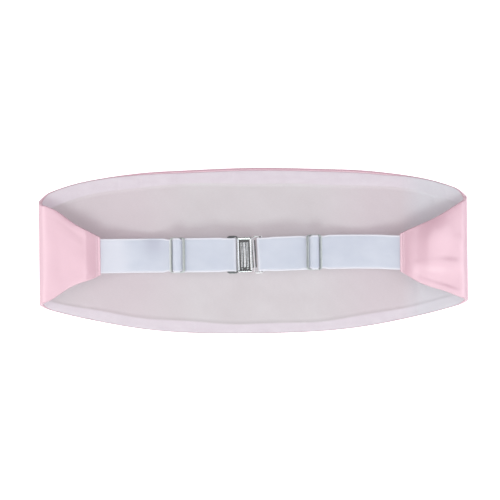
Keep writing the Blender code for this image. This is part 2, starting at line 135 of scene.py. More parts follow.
# Where one folded end's edge stands further out than its mirror image, in mm
EDGE_BUMPS = table(
    "side edge place width rise",
    (-1, "top", 1.34, 0.3, 2.2), (-1, "bottom", 1.58, 0.36, -2.2),
    (1, "top", 1.48, 0.42, -1.3), (1, "bottom", 1.68, 0.36, 1.9),
)
# Width of the satin roll that shows beside the lining, in mm
ROLL_ROWS = table(
    "x top bottom",
    (-157, 0.5, 0.4), (-110, 0.5, 0.35), (-78, 1.4, 0.3), (-40, 1.9, 0.3),
    (40, 1.9, 0.3), (96, 1.8, 0.35), (116, 0.7, 0.4), (157, 0.4, 0.4),
)
# How far the roll swells in its middle and sinks at the lining's edge, in mm
ROLL_PUFF = 0.14
ROLL_SINK = 0.16
# The place where that roll starts to take the width it has on the ends, and over how far
ROLL_TAPER = (0.9, 0.12)
# The straps' middle line, in mm
STRAP_ROWS = table(
    "x y",
    (-130, -2.65), (-60, -2.7), (-6, -2.8), (8, -2.7), (60, -1.5), (90, -1.8),
    (106, -2.65), (130, -2.65),
)
# In the plane along each strap, in mm, with the left one's x: its slider, and the arcs of its dip
# and its hump as x, z and radius; how far its loop leans in the picture's plane and how it turns
# about its own length, in degrees, its +Y edge up; and how far its +Y half droops, in mm
STRAPS = {
    "left": {
        "mirror": 1, "level": LEFT_LEVEL, "slider": (-55.4, 12.8), "slider_tilt": 14,
        "dip": (-86.0, 8.2, 40), "hump": (-30.0, 15.4, 18), "bar": -18.5, "loop_end": -14.4,
        "lean": 0.6, "turns": table(
            "x turn droop",
            (-130, 0.0, 0.0), (-110, 0.0, 0.0), (-98, 6.0, 0.0), (-88, 4.0, 0.1),
            (-74, -2.0, 0.9), (-64, 0.0, 0.0), (0, 0.0, 0.0),
        ),
    },
    "right": {
        "mirror": -1, "level": RIGHT_LEVEL, "slider": (-44.4, 13.0), "slider_tilt": 12,
        "dip": (-78.0, 8.2, 40), "hump": (-26.0, 15.6, 18), "bar": -6.6, "loop_end": -4.9,
        "lean": 2.6, "turns": table(
            "x turn droop",
            (0, 0.0, 0.0), (56, 0.0, 0.0), (72, -1.5, 0.3), (92, 1.5, 0.0),
            (108, -2.0, 0.0), (119, -1.5, 0.0), (130, -1.5, 0.0),
        ),
    },
}
LEAVE_RADIUS = 55 * MM
# Painted light and painted shade on the straps: where the left strap's end has painted light and
# where a patch of it has painted shade, as a world x and the length over which it changes, in mm,
# and where a loop's front has painted light, in its radius; each with its share
END_PAINTED_LIGHT = (-86, 14, 0.65)
LOOP_PAINTED_LIGHT = (-0.1, 0.6, 0.8)
PAINTED_SHADE_FROM = (-84, 10, 0.8)
PAINTED_SHADE_UNTIL = (-63, 8)
# Painted highlight along each strap's edges: how far in from the edge it is full, and the length
# over which it fades
EDGE_PAINTED_LIGHT = (1.0 * MM, 0.5 * MM)
# The loops lean within this distance of their ends, and less over this one
LEAN_NEAR = 4 * MM
LEAN_FADE = 12 * MM
# Across a strap's edge, in mm: inset and half the wall, with the groove beside its selvedge
SELVEDGE = (
    (0.0, 0.22), (0.1, 0.38), (0.28, 0.48), (0.55, 0.5), (0.9, 0.5),
    (1.1, 0.46), (1.25, 0.38), (1.4, 0.38), (1.55, 0.46), (1.8, 0.5),
)
SELVEDGE_WIDTH = 1.8 * MM
STRAP_STEPS = 44
# The plate from its back over its rim to its sunk field: inset, and height over that level, in mm
PLATE_FORM = (
    (1.2, "back", 0.0), (0.3, "back", 0.0), (0.08, "back", 0.1), (0.0, "back", 0.28),
    (0.0, "top", -0.42), (0.07, "top", -0.2), (0.25, "top", -0.05), (0.5, "top", 0.0),
    (0.8, "top", -0.04), (1.05, "top", -0.18), (1.2, "top", -0.38),
    (1.33, "field", 0.03), (1.55, "field", 0.0),
)
# The ribs on the plate, in mm: their forms as inset and share of the rise, and a dot's form as
# inset and height
FLAT_RIB = ((0.0, 0.0), (0.0, 0.4), (0.08, 0.7), (0.24, 0.92), (0.46, 1.0))
ROUND_RIB = ((0.0, 0.0), (0.0, 0.25), (0.12, 0.6), (0.28, 0.85), (0.48, 1.0))
DOT_FORM = ((0.0, 0.0), (0.0, 0.12), (0.07, 0.28), (0.2, 0.38), (0.33, 0.42))
RIB_ROWS = table(
    "place width rise form",
    (-1, 1.15, 0.34, FLAT_RIB),
    (0, 1.25, 0.55, ROUND_RIB),
    (1, 1.15, 0.34, FLAT_RIB),
)

# Creases in plan, in mm: for each, its side and a line of points as x, y, depth (negative for a
# ridge), half width on its right and half width on its left
FLAP_CREASES = (
    (1, (
        (109, -15, -0.1, 8, 6), (117, -12.4, -0.25, 9, 7), (123, -10.4, -0.2, 9, 6.5),
        (132, -9.8, -0.25, 9, 6), (140, -10.2, -0.42, 8, 5.2), (148, -11.0, -0.45, 8, 5),
        (158, -12.0, -0.45, 8, 5),
    )),
    (1, (
        (116, -16.6, 0.55, 7, 8), (123, -18.6, 0.85, 7, 10), (138, -22.8, 1.05, 7, 11),
        (157, -25.6, 0.85, 8, 11),
    )),
    (1, ((152.5, 33, 0.5, 6, 8), (152.0, 12, 0.5, 6, 8))),
    (1, (
        (132, -7, -0.3, 12, 13), (132.5, -2, -0.55, 12, 15), (132.5, 7, -0.8, 13, 15),
        (133, 16, -0.8, 13, 11), (134, 28, -0.8, 13, 9),
    )),
    (-1, (
        (-150, 12, -0.25, 10, 8), (-147.5, 0, -0.35, 12, 8), (-148, -16, -0.35, 12, 8),
        (-144, -27, -0.25, 9, 9),
    )),
    (-1, ((-139, 19, 0.1, 5, 6), (-124, 10.5, 0.3, 5, 6))),
    (-1, ((-147, -20, 0.15, 6, 9), (-130, -13, 0.5, 7, 12), (-117, -10, 0.25, 6, 10))),
)
# Waves of the turned-in edges: height in mm, radians per metre, and start
HEM_WAVES = {"top": ((0.9, 31, 0.6), (0.5, 83, 2.0)), "bottom": ((0.7, 37, 4.1), (0.5, 97, 0.0))}
# How far from an end those waves and the creases of the ends start, and over how far
HEM_CALM = (20 * MM, 25 * MM)
FLAP_CALM = (8.5 * MM, 6 * MM)
# The place past a fold where those creases start, and over how far; and how high the ends swell
# between them, in mm
FLAP_STARTS = (1.06, 0.22)
FLAP_SWELL = 0.16
# The trough where the turned-in edges of the ends stop
HEM_TROUGH = 0.15 * MM
HEM_TROUGH_RIGHT_TOP = 0.03 * MM
HEM_TROUGH_INSET = 6.2 * MM
HEM_TROUGH_HALF_WIDTH = 2.8 * MM
LINING_SWELL = 0.1 * MM
LINING_RIPPLE = 0.05 * MM
# Creases of the lining, each as a line of points like those above
LINING_CREASES = (
    ((119.8, -26, 0.6, 1.9, 1.9), (119.0, -46, 0.72, 1.9, 1.9)),
    ((102.5, -44.5, 0.5, 2.6, 2.6), (104.0, -53, 0.5, 2.6, 2.6)),
    ((131.2, 46.5, 0.5, 2.6, 2.6), (133.0, 34, 0.5, 2.6, 2.6)),
    ((141.5, 43, 0.6, 1.9, 1.9), (143, 34, 0.6, 1.9, 1.9)),
    ((-131, 38, 0.4, 2.6, 2.6), (-127, 47, 0.4, 2.6, 2.6)),
    ((-124, -40, 0.45, 2.6, 2.6), (-120, -50, 0.45, 2.6, 2.6)),
)
# Short marks across the lining's turned-in edges, in mm, with 1 for the top edge
EASE_MARKS = table(
    "x edge width depth",
    (-125.0, -1, 1.6, 0.3), (-112.0, -1, 1.8, 0.4), (-104.0, -1, 1.5, 0.3),
    (-67.5, -1, 1.6, 0.32), (-44.5, -1, 1.5, 0.36), (36.0, -1, 1.5, 0.36),
    (47.0, -1, 1.4, 0.3), (84.0, -1, 1.7, 0.3), (-99.0, 1, 1.7, 0.26),
    (-83.0, 1, 1.6, 0.34), (-55.0, 1, 1.6, 0.24), (-15.0, 1, 1.6, 0.2),
    (24.0, 1, 1.6, 0.26), (63.0, 1, 1.6, 0.24), (112.0, 1, 1.8, 0.36),
)


def read_rows(rows, key, column, at):
    """A smooth curve through one column of a table, read at one value of its key."""
    last = len(rows) - 1
    row = 0
    while row < last - 1 and at > rows[row + 1][key]:
        row += 1

    def slope(index):
        low = rows[max(index - 1, 0)]
        high = rows[min(index + 1, last)]
        return (high[column] - low[column]) / (high[key] - low[key])

    start = rows[row]
    end = rows[row + 1]
    span = end[key] - start[key]
    t = (at - start[key]) / span
    rise = t * t * (3 - 2 * t)
    leave = t * (1 - t) ** 2 * span
    arrive = t * t * (t - 1) * span
    value = start[column] * (1 - rise) + end[column] * rise
    return value + slope(row) * leave + slope(row + 1) * arrive


def ease(t):
    """A smooth step from 0 to 1."""
    t = np.clip(t, 0.0, 1.0)
    return t * t * (3 - 2 * t)


def past(value, mark):
    """0 up to a mark, and up to 1 over the length that comes with it."""
    return ease((value - mark[0]) / mark[1])


def hill(t):
    """A smooth rise from 0 at -1 to 1 at 0, and back to 0 at 1."""
    return np.clip(1 - t ** 2, 0, None) ** 2


# How a stretch's turn is spread over its length
SWELLS = {
    "even": lambda t: 1.0,
    "both": lambda t: sin(pi * t) ** 2,
    "in": lambda t: sin(pi * t / 2) ** 0.6,
    "out": lambda t: cos(pi * t / 2) ** 0.6,
}


def end_profile(level, flat_steps, fine=12):
    """Side view of half the cloth: rows of out, z, angle, left over, place and run."""
    stretches = (
        ("lift", LIFT_LENGTH, LIFT_TURN, "both", 22),
        ("under", FOLD_RADIUS * radians(UNDER_TURN), UNDER_TURN, "in", 26),
        ("over", FOLD_RADIUS * radians(OVER_TURN), OVER_TURN, "out", 26),
        ("level", level, LEVEL_TURN, "even", 18),
        ("dip", DIP_LENGTH, DIP_TURN, "both", 28),
    )
    out = z = angle = run = 0.0
    raised = [(out, z, angle, run)]
    widest = 0
    for name, length, turn, swell, steps in stretches:
        pieces = steps * fine
        weights = [SWELLS[swell]((i + 0.5) / pieces) for i in range(pieces)]
        share = radians(turn) / sum(weights)
        part = length / pieces
        for i, weight in enumerate(weights):
            middle = angle + share * weight / 2
            out += part * cos(middle)
            z += part * sin(middle)
            angle += share * weight
            run += part
            close_to_end = name == "dip" and pieces - i <= 2 * fine and (pieces - i) % 2 == 1
            if (i + 1) % fine == 0 or close_to_end:
                raised.append((out, z, angle, run))
        if name == "under":
            widest = len(raised) - 1
    flat = HALF_WIDTH - raised[widest][0]
    stations = [(flat * i / flat_steps, 0.0, 0.0, flat * i / flat_steps) for i in range(flat_steps)]
    stations += [(flat + o, height, turned, flat + r) for o, height, turned, r in raised]
    fold_run = flat + raised[widest][3]
    end_run = stations[-1][3]
    rows = []
    for o, height, turned, r in stations:
        place = r / fold_run if r <= fold_run else 1 + (r - fold_run) / (end_run - fold_run)
        rows.append((o, height, turned, end_run - r, place, r))
    return rows


# For each side: length, depth at the end, how straight it falls, and how much deeper it is towards
# the upper edge
PRESSED = {-1: (10.6 * MM, 0.7 * MM, 2.0, 0.0), 1: (21.0 * MM, 1.1 * MM, 1.7, 0.4)}
GROOVE_INSET = 2.0 * MM
GROOVE_DEPTH = 0.34 * MM
GROOVE_HALF_WIDTH = 1.5 * MM
# How the walls round off at the ends: over how far, and how deep
SATIN_END_ROLL = (0.7 * MM, 0.5 * MM)
LINING_END_ROLL = (0.5 * MM, 0.35 * MM)
HEM_BLEND = 1.2 * MM


def pressed(side, left_over, y=0.0):
    """How far the sewn end on one side is pressed down, past the end of the strap inside it."""
    length, depth, power, lean = PRESSED[side]
    near = 1 - np.clip(left_over / length, 0, 1) ** power
    return depth * near * (1 + lean * np.clip(y / (ELASTIC_WIDTH / 2), -1, 1))


class Profile:
    """Side view of the whole cloth from the left end to the right end, as columns of numbers."""

    def __init__(self, flat_steps):
        left = [(*row, -1) for row in reversed(end_profile(LEFT_LEVEL, flat_steps)[1:])]
        right = [(*row, 1) for row in end_profile(RIGHT_LEVEL, flat_steps)]
        columns = np.array(left + right)[:, :, None].swapaxes(0, 1)
        self.out, self.z, self.angle, self.left_over, self.place, self.run, self.side = columns
        self.x = self.out * self.side
        self.u = self.run * self.side
        self.top = self.read("top")
        self.bottom = self.read("bottom")
        self.tucked = ease((TUCK_LENGTH + TUCK_EASE - self.left_over) / TUCK_EASE)
        self.roll = {edge: self.roll_width(edge) for edge in ("top", "bottom")}
        self.rim = HEM_THICK + SEAM_GAP + LINING_THICK + self.tucked * STRAP_ROOM
        self.hem_top = HEM_TOP + self.hem_wave("top")
        self.hem_bottom = HEM_BOTTOM + self.hem_wave("bottom")

    def hem_wave(self, edge):
        calm = past(self.left_over, HEM_CALM)
        waves = sum(high * np.sin(self.u * rate + start) for high, rate, start in HEM_WAVES[edge])
        return calm * MM * waves

    def read(self, column):
        values = [read_rows(EDGE_ROWS, "place", column, p) * MM for p in self.place[:, 0]]
        made = np.array(values)[:, None]
        for row in EDGE_BUMPS:
            if row["edge"] == column:
                bump = row["rise"] * MM * hill((self.place - row["place"]) / row["width"])
                made = made + np.where(self.side == row["side"], bump, 0)
        return made

    def roll_width(self, edge):
        sewn = RIM_WIDTH + self.tucked * (RIM_END_WIDTH - RIM_WIDTH)
        values = [read_rows(ROLL_ROWS, "x", edge, x / MM) * MM for x in self.x[:, 0]]
        shown = np.array(values)[:, None]
        return shown + past(self.place, ROLL_TAPER) * (sewn - shown)

    def stitched_groove(self):
        return GROOVE_DEPTH * hill((self.left_over - GROOVE_INSET) / GROOVE_HALF_WIDTH)

    def end_roll(self, length, drop):
        """How far a face turns in over the last bit before the end of the cloth."""
        near = np.clip(1 - self.left_over / length, 0, 1)
        return drop * (1 - np.sqrt(np.clip(1 - near ** 2, 0, None)))

    def crown(self, y):
        """How far the long edges of the ends rise above their middle."""
        middle = (self.top - self.bottom) / 2
        reach = (y - middle) / ((self.top + self.bottom) / 2)
        on_flap = np.sin(np.pi * np.clip(self.place - 1, 0, 1)) ** 2
        return FLAP_CROWN * on_flap * reach ** 4

    def points(self, y, offset):
        """Points at y, moved off the outer face towards the lining."""
        left, right = (pressed(side, self.left_over, y) for side in (-1, 1))
        down = np.where(self.side < 0, left, right)
        offset = offset + self.crown(y) + flap_relief(self, y) + down
        x = self.x - self.side * offset * np.sin(self.angle)
        return np.stack((x, y + 0 * x, self.z + offset * np.cos(self.angle)), axis=-1)


def crease(x, y, line):
    """A soft trough or ridge along a line of points, as the depth of the cloth there."""
    nearest = np.full(x.shape, 1.0)
    made = np.zeros(x.shape)
    for start, end in zip(line, line[1:]):
        ax, ay, bx, by = (v * MM for v in (*start[:2], *end[:2]))
        dx, dy = bx - ax, by - ay
        t = np.clip(((x - ax) * dx + (y - ay) * dy) / (dx * dx + dy * dy), 0, 1)
        off_x, off_y = x - ax - t * dx, y - ay - t * dy
        far = np.hypot(off_x, off_y)
        aside = (dx * off_y - dy * off_x) / hypot(dx, dy)
        lean = 0.5 + 0.5 * aside / np.maximum(far, 1e-9)
        depth, right, left = (start[k] + t * (end[k] - start[k]) for k in (2, 3, 4))
        width = (right + lean * (left - right)) * MM
        here = depth * MM * hill(far / width)
        made = np.where(far < nearest, here, made)
        nearest = np.minimum(far, nearest)
    return made


def flap_relief(profile, y):
    """Creases of the folded ends, which carry the satin and the lining alike."""
    x = profile.x + 0 * y
    made = 0.0 * x
    for side, line in FLAP_CREASES:
        made += np.where(profile.side == side, crease(x, y, line), 0)
    swell = FLAP_SWELL * np.sin(x * 210 + y * 90 + 0.5) * np.sin(y * 170 - x * 60 + 1.0)
    made += MM * swell
    for inset, right in ((profile.top - y, HEM_TROUGH_RIGHT_TOP), (y + profile.bottom, HEM_TROUGH)):
        depth = np.where(profile.side < 0, HEM_TROUGH, right)
        made += depth * hill((inset - HEM_TROUGH_INSET) / HEM_TROUGH_HALF_WIDTH)
    return made * past(profile.place, FLAP_STARTS) * past(profile.left_over, FLAP_CALM)


def lining_relief(profile, y):
    """Looseness of the lining where it lies on the front, positive upwards."""
    x = profile.x + 0 * y
    made = 0.0 * x
    for line in LINING_CREASES:
        made -= crease(x, y, line)
    for row in EASE_MARKS:
        edge = profile.top if row["edge"] == 1 else -profile.bottom
        inset = (edge - y) * row["edge"]
        hem = profile.hem_top if row["edge"] == 1 else profile.hem_bottom
        across = hill((x - row["x"] * MM) / (row["width"] * MM))
        along = ease(inset / (2 * MM)) * ease(1 - (inset - 0.6 * hem) / (0.9 * hem))
        made -= row["depth"] * MM * across * along
    made += LINING_SWELL * np.sin(x * 160 + 1.2 * np.sin(y * 60)) * np.sin(y * 75 + 0.7)
    made += LINING_RIPPLE * np.sin(x * 420 + y * 130) * np.sin(y * 310 + x * 50 + 2.0)
    return made * ease((1.0 - profile.place) / 0.1)


def column(profile, edge, inwards, low_inset, low, high_inset, high):
    """One column of a wall: y and height of its lower face, then of its upper face."""
    zero = 0 * profile.x
    low_y = edge + inwards * low_inset + zero
    high_y = edge + inwards * high_inset + zero
    return (low_y, low + zero, high_y, high + zero)


def between(first, last, count):
    """Columns spread evenly between two others."""
    made = []
    for i in range(1, count):
        t = i / count
        made.append(tuple(a * (1 - t) + b * t for a, b in zip(first, last)))
    return made


def across(halves, middle_count):
    bottom, top = halves
    return bottom + between(bottom[-1], top[-1], middle_count) + top[::-1]


def edges(p):
    """For each long edge: its hem, its roll, and what makes a column inside it."""
    return (
        (p.hem_bottom, p.roll["bottom"], partial(column, p, -p.bottom, 1)),
        (p.hem_top, p.roll["top"], partial(column, p, p.top, -1)),
    )


def shell_columns(p):
    halves = []
    for hem, roll, make in edges(p):
        round_off = np.minimum(RIM_ROUND, 0.8 * roll)
        half = []
        for i in range(7):
            turn = pi / 2 * i / 6
            share = 1 - cos(turn)
            drop = RIM_ROUND * (1 - sin(turn))
            inset = round_off * share
            half.append(make(RIM_ROUND * share, drop, inset, p.rim - drop))
        for t in (0.25, 0.5, 0.75, 0.9, 1.0):
            inset = round_off + t * (roll - round_off)
            puff = (ROLL_PUFF * sin(pi * t) - ROLL_SINK * t ** 6) * MM
            low_inset = RIM_ROUND + t * np.maximum(roll - RIM_ROUND, 0.05 * MM)
            half.append(make(low_inset, 0.0, inset, p.rim + puff))
        inset = np.maximum(roll, RIM_ROUND + 0.05 * MM) + 0.05 * MM
        half.append(make(inset, 0.0, roll + 0.02 * MM, HEM_THICK))
        first = half[-1]
        last = make(hem, 0.0, hem, HEM_THICK)
        half += between(first, last, 6) + [last]
        half.append(make(hem + HEM_STEP, 0.0, hem + HEM_STEP, SHELL_THICK))
        halves.append(half)
    return halves


def lining_columns(p):
    def level(under):
        return under + p.tucked * (HEM_THICK - under + STRAP_ROOM) + SEAM_GAP

    halves = []
    for hem, roll, make in edges(p):
        start = roll + 0.06 * MM
        low = level(HEM_THICK)
        half = []
        for inset, drop in ((0.0, 0.3), (0.05, 0.16), (0.14, 0.06), (0.32, 0.0)):
            at = start + inset * MM
            under, over = low + drop * MM * 0.5, low + LINING_THICK - drop * MM
            half.append(make(at, under, at, over))
        first = half[-1]
        at = hem + SEAM_GAP
        last = make(at, low, at, low + LINING_THICK)
        half += between(first, last, 9) + [last]
        at = at + HEM_STEP
        low = level(SHELL_THICK)
        after = make(at, low, at, low + LINING_THICK)
        half += between(last, after, 3) + [after]
        halves.append(half)
    return halves


def new_object(name, data):
    made = bpy.data.objects.new(name, data)
    bpy.context.scene.collection.objects.link(made)
    return made


def link(name, mesh, material):
    mesh.materials.append(material)
    return new_object(name, mesh)


def wall(name, under, over, uv, material, tint=None):
    """A closed wall between two grids of points, with cloth coordinates in metres as its UV map."""
    rows, wide = under.shape[:2]
    points = np.concatenate((under.reshape(-1, 3), over.reshape(-1, 3)))
    index = np.arange(rows * wide).reshape(rows, wide)
    high = index + rows * wide
    faces = []

    def quads(a, b, c, d):
        faces.append(np.stack([g.ravel() for g in (a, b, c, d)], axis=1))

    quads(index[:-1, :-1], index[:-1, 1:], index[1:, 1:], index[1:, :-1])
    quads(high[:-1, :-1], high[1:, :-1], high[1:, 1:], high[:-1, 1:])
    quads(index[:-1, 0], index[1:, 0], high[1:, 0], high[:-1, 0])
    quads(index[:-1, -1], high[:-1, -1], high[1:, -1], index[1:, -1])
    quads(index[0, :-1], high[0, :-1], high[0, 1:], index[0, 1:])
    quads(index[-1, :-1], index[-1, 1:], high[-1, 1:], high[-1, :-1])
    faces = np.concatenate(faces)
    a, b, c, d = (points[faces[:, i]] for i in range(4))
    volume = (a * np.cross(b, c)).sum() + (a * np.cross(c, d)).sum()
    if volume < 0:
        faces = faces[:, ::-1]
    mesh = bpy.data.meshes.new(name)
    mesh.from_pydata(points.tolist(), [], faces.tolist())
    corners = np.empty(len(mesh.loops), np.int32)
    mesh.loops.foreach_get("vertex_index", corners)
    both = np.tile(uv.reshape(-1, 2), (2, 1))
    layer = mesh.uv_layers.new(name="cloth")
    layer.data.foreach_set("uv", both[corners].astype(np.float32).ravel())
    if tint is not None:
        spread = np.tile(tint.ravel(), 2).astype(np.float32)
        mesh.attributes.new("tint", "FLOAT", "POINT").data.foreach_set("value", spread)
    mesh.shade_smooth()
    return link(name, mesh, material)


# Materials

class Nodes:
    """A node tree with a few shorthands."""

    def __init__(self, tree):
        self.tree = tree

    def add(self, kind, inputs=None, **settings):
        node = self.tree.nodes.new("ShaderNode" + kind)
        for key, value in settings.items():
            setattr(node, key, value)
        for key, value in (inputs or {}).items():
            self.put(node.inputs[key], value)
        return node

    def put(self, socket, value):
        if isinstance(value, bpy.types.NodeSocket):
            self.tree.links.new(value, socket)
        else:
            socket.default_value = value


class Look(Nodes):
    """A material's nodes."""

    def __init__(self, name, **settings):
        self.material = bpy.data.materials.new(name)
        self.material.use_nodes = True
        super().__init__(self.material.node_tree)
        self.shader = self.tree.nodes["Principled BSDF"]
        for key, value in settings.items():
            self.shader.inputs[key.replace("_", " ")].default_value = value

    def math(self, operation, a, b, c=0.0):
        return self.add("Math", {0: a, 1: b, 2: c}, operation=operation).outputs[0]

    def times(self, a, b):
        return self.math("MULTIPLY", a, b)

    def plus(self, a, b, scale=1.0):
        """a, and b scaled."""
        return self.math("MULTIPLY_ADD", b, scale, a)

    def mix(self, share, a, b, blend="MIX"):
        node = self.add("Mix", {0: share, 6: a, 7: b}, data_type="RGBA", blend_type=blend)
        return node.outputs[2]

    def scaled(self, vector, *scale):
        return self.add("Mapping", {"Vector": vector, "Scale": scale}).outputs[0]

    def cloth(self, along, over):
        """Cloth coordinates, scaled along the cloth and across it, in cycles per mm."""
        return self.scaled(self.add("UVMap", uv_map="cloth").outputs[0], along / MM, over / MM, 1)

    def place(self):
        return self.add("TexCoord").outputs["Object"]

    def noise(self, vector, detail=2.0, rough=0.5, scale=1.0):
        inputs = {"Vector": vector, "Scale": scale, "Detail": detail, "Roughness": rough}
        return self.add("TexNoise", inputs).outputs[0]

    def ramp(self, value, low=0.3, high=0.7):
        return self.add("MapRange", {0: value, 1: low, 2: high, 3: 0.0, 4: 1.0}).outputs[0]

    def wave(self, vector, direction):
        inputs = {"Vector": vector, "Scale": 1.0, "Distortion": 0.6, "Detail": 1.0}
        return self.add("TexWave", inputs, bands_direction=direction).outputs[1]

    def finish(self, color, roughness, height=None, strength=0.0, distance=0.0):
        """The material, with a bump of some strength and distance in mm."""
        self.put(self.shader.inputs["Base Color"], color)
        self.put(self.shader.inputs["Roughness"], roughness)
        if height is not None:
            inputs = {"Height": height, "Strength": strength, "Distance": distance * MM}
            self.put(self.shader.inputs["Normal"], self.add("Bump", inputs).outputs[0])
        return self.material


def make_satin():
    look = Look("satin", Anisotropic=0.5, Specular_IOR_Level=0.9)
    floats = look.noise(look.cloth(0.45, 4.2), 2.0, 0.6)
    picks = look.noise(look.cloth(3.2, 0.9), 1.0)
    broad = look.ramp(look.noise(look.cloth(0.045, 0.06), 3.0))
    shade = look.times(look.plus(look.ramp(floats, 0.25, 0.75), broad), 0.5)
    color = look.mix(shade, (0.49, 0.302, 0.36, 1), (0.515, 0.32, 0.38, 1))
    tangent = look.add("Tangent", direction_type="UV_MAP", uv_map="cloth").outputs[0]
    look.put(look.shader.inputs["Tangent"], tangent)
    roughness = look.plus(0.28, broad, 0.035)
    return look.finish(color, roughness, look.plus(floats, picks, 0.4), 0.35, 0.05)


def make_lining():
    look = Look(
        "lining", Specular_IOR_Level=0.25, Subsurface_Weight=0.25, Subsurface_Scale=2.0 * MM,
        Subsurface_Radius=(1.0, 0.9, 0.9),
    )
    tint = look.add("Attribute", attribute_name="tint").outputs["Fac"]
    soft = look.ramp(look.noise(look.cloth(0.03, 0.045), 3.0))
    plain = look.mix(soft, (0.5, 0.462, 0.478, 1), (0.53, 0.496, 0.512, 1))
    soft = look.ramp(look.noise(look.cloth(0.08, 0.2)))
    hem = look.mix(soft, (0.56, 0.5, 0.548, 1), (0.59, 0.535, 0.58, 1))
    uv = look.add("UVMap", uv_map="cloth").outputs[0]
    along = look.add("SeparateXYZ", {0: uv}).outputs[0]
    far = look.math("ABSOLUTE", along, 0.0)
    # Painted pink bounce light from the satin ends, on the lining from about 45 to 165 mm out along
    # the cloth on each side
    painted_pink_bounce = look.times(look.ramp(far, 0.045, 0.085), look.ramp(far, 0.165, 0.115))
    plain = look.mix(look.times(painted_pink_bounce, 0.75), plain, (0.515, 0.448, 0.478, 1))
    color = look.mix(tint, plain, hem)
    # Painted cool light on the lining's right end, from about 108 mm out along the cloth, where it
    # lifts towards the fold
    loose_and_painted_light = look.times(look.ramp(along, 0.108, 0.124), 0.8)
    color = look.mix(loose_and_painted_light, color, (0.52, 0.51, 0.545, 1))
    weave = look.times(look.wave(look.cloth(0.0, 0.9), "Y"), look.wave(look.cloth(0.8, 0.0), "X"))
    thread = look.noise(look.cloth(0.5, 3.0), 2.0, 0.6)
    grain = look.mix(thread, (0.25, 0.25, 0.25, 1), (1, 1, 1, 1))
    color = look.mix(0.1, color, grain, "OVERLAY")
    return look.finish(color, 0.55, look.plus(thread, weave, 0.6), 0.3, 0.05)


def make_elastic():
    look = Look(
        "elastic", Specular_IOR_Level=0.25, Subsurface_Weight=0.4, Subsurface_Scale=3.0 * MM,
        Subsurface_Radius=(1.0, 1.0, 1.0),
    )
    ribs = look.wave(look.cloth(0.0, 0.35), "Y")
    picks = look.wave(look.cloth(0.75, 0.0), "X")
    fuzz = look.noise(look.cloth(2.4, 2.4), 3.0, 0.6)
    broad = look.ramp(look.noise(look.cloth(0.05, 0.09)))
    color = look.mix(broad, (0.49, 0.515, 0.588, 1), (0.53, 0.552, 0.62, 1))
    color = look.mix(look.times(ribs, 0.1), color, (0.44, 0.47, 0.54, 1))
    # Painted light and shade from the tint attribute: paler on the edges, at the left strap's end
    # and on the loops' fronts, and darker on a patch of the left strap's +Y half
    painted_light = look.add("Attribute", attribute_name="tint").outputs["Fac"]
    color = look.mix(look.times(painted_light, 0.8), color, (0.64, 0.635, 0.69, 1))
    color = look.mix(look.times(painted_light, -0.8), color, (0.42, 0.43, 0.51, 1))
    height = look.plus(look.plus(fuzz, picks, 0.5), ribs, 0.9)
    return look.finish(color, 0.7, height, 0.4, 0.07)


def make_nickel(name, dark, light, rough):
    look = Look(name, Metallic=1.0)
    wear = look.noise(look.place(), 4.0, 0.6, scale=380.0)
    fine = look.noise(look.scaled(look.place(), 9000, 900, 9000))
    color = look.mix(look.ramp(wear), dark, light)
    roughness = look.plus(rough, look.ramp(wear, 0.25, 0.8), 0.12)
    return look.finish(color, roughness, fine, 0.03, 0.01)


def make_thread():
    look = Look("thread_pink", Sheen_Weight=0.2)
    light = (0.56, 0.38, 0.43, 1)
    dark = tuple(c * 0.72 for c in light[:3]) + (1,)
    twist = look.wave(look.scaled(look.place(), 900, 900, 900), "DIAGONAL")
    return look.finish(look.mix(look.times(twist, 0.3), light, dark), 0.6, twist, 0.5, 0.04)


def make_floor_look():
    look = Look("floor", Specular_IOR_Level=0.1, Emission_Color=(1, 1, 1, 1), Emission_Strength=0.5)
    grain = look.noise(look.place(), scale=30.0)
    return look.finish(look.mix(grain, (0.93, 0.93, 0.935, 1), (0.95, 0.95, 0.955, 1)), 0.9)


SATIN = make_satin()
LINING = make_lining()
ELASTIC = make_elastic()
NICKEL = make_nickel("nickel", (0.66, 0.66, 0.67, 1), (0.76, 0.76, 0.77, 1), 0.13)
# The sliders' nickel: rougher than the clasp's, and darker and greener in colour
DULL_NICKEL = make_nickel("nickel_dull", (0.58, 0.6, 0.595, 1), (0.68, 0.7, 0.69, 1), 0.42)
# Painted shade: a much darker copy of the nickel, for the bail's wires, which lie in shade
SHADE_PAINTED_NICKEL = make_nickel("nickel_painted_shade", (0.24, 0.245, 0.25, 1), (0.32, 0.325, 0.33, 1), 0.42)
# Painted highlight: a brighter, pink-tinted copy of the nickel, for the eye ring
HIGHLIGHT_PAINTED_NICKEL = make_nickel("nickel_painted_highlight", (0.86, 0.82, 0.84, 1), (0.94, 0.9, 0.92, 1), 0.34)
THREAD = make_thread()


# Cloth

def cloth_piece(name, profile, columns, material, loose_and_painted_light=False):
    """A wall on the columns; with the flag for the lining set, it has the lining's relief and the
    tint of its hems.
    """
    low_y, low, high_y, high = (np.concatenate([c[i] for c in columns], axis=1) for i in range(4))
    tint = None
    if loose_and_painted_light:
        roll = profile.end_roll(*LINING_END_ROLL)
        low = low + roll
        high = high + lining_relief(profile, high_y) - roll
        top = ease(0.5 - (profile.top - high_y - profile.hem_top) / HEM_BLEND)
        bottom = ease(0.5 - (high_y + profile.bottom - profile.hem_bottom) / HEM_BLEND)
        tint = np.maximum(top, bottom)
    else:
        low = low + profile.end_roll(*SATIN_END_ROLL) + profile.stitched_groove()
    under = profile.points(low_y, low)
    over = profile.points(high_y, high)
    uv = np.stack((profile.u + 0 * high_y, high_y), axis=-1)
    return wall(name, under, over, uv, material, tint)


shell_profile = Profile(36)
columns = across(shell_columns(shell_profile), 34)
shell = cloth_piece("satin_front", shell_profile, columns, SATIN)
lining_profile = Profile(90)
columns = across(lining_columns(lining_profile), 52)
lining = cloth_piece("pale_lining", lining_profile, columns, LINING, loose_and_painted_light=True)


# Straps

def heading(angle):
    return (cos(angle), sin(angle))


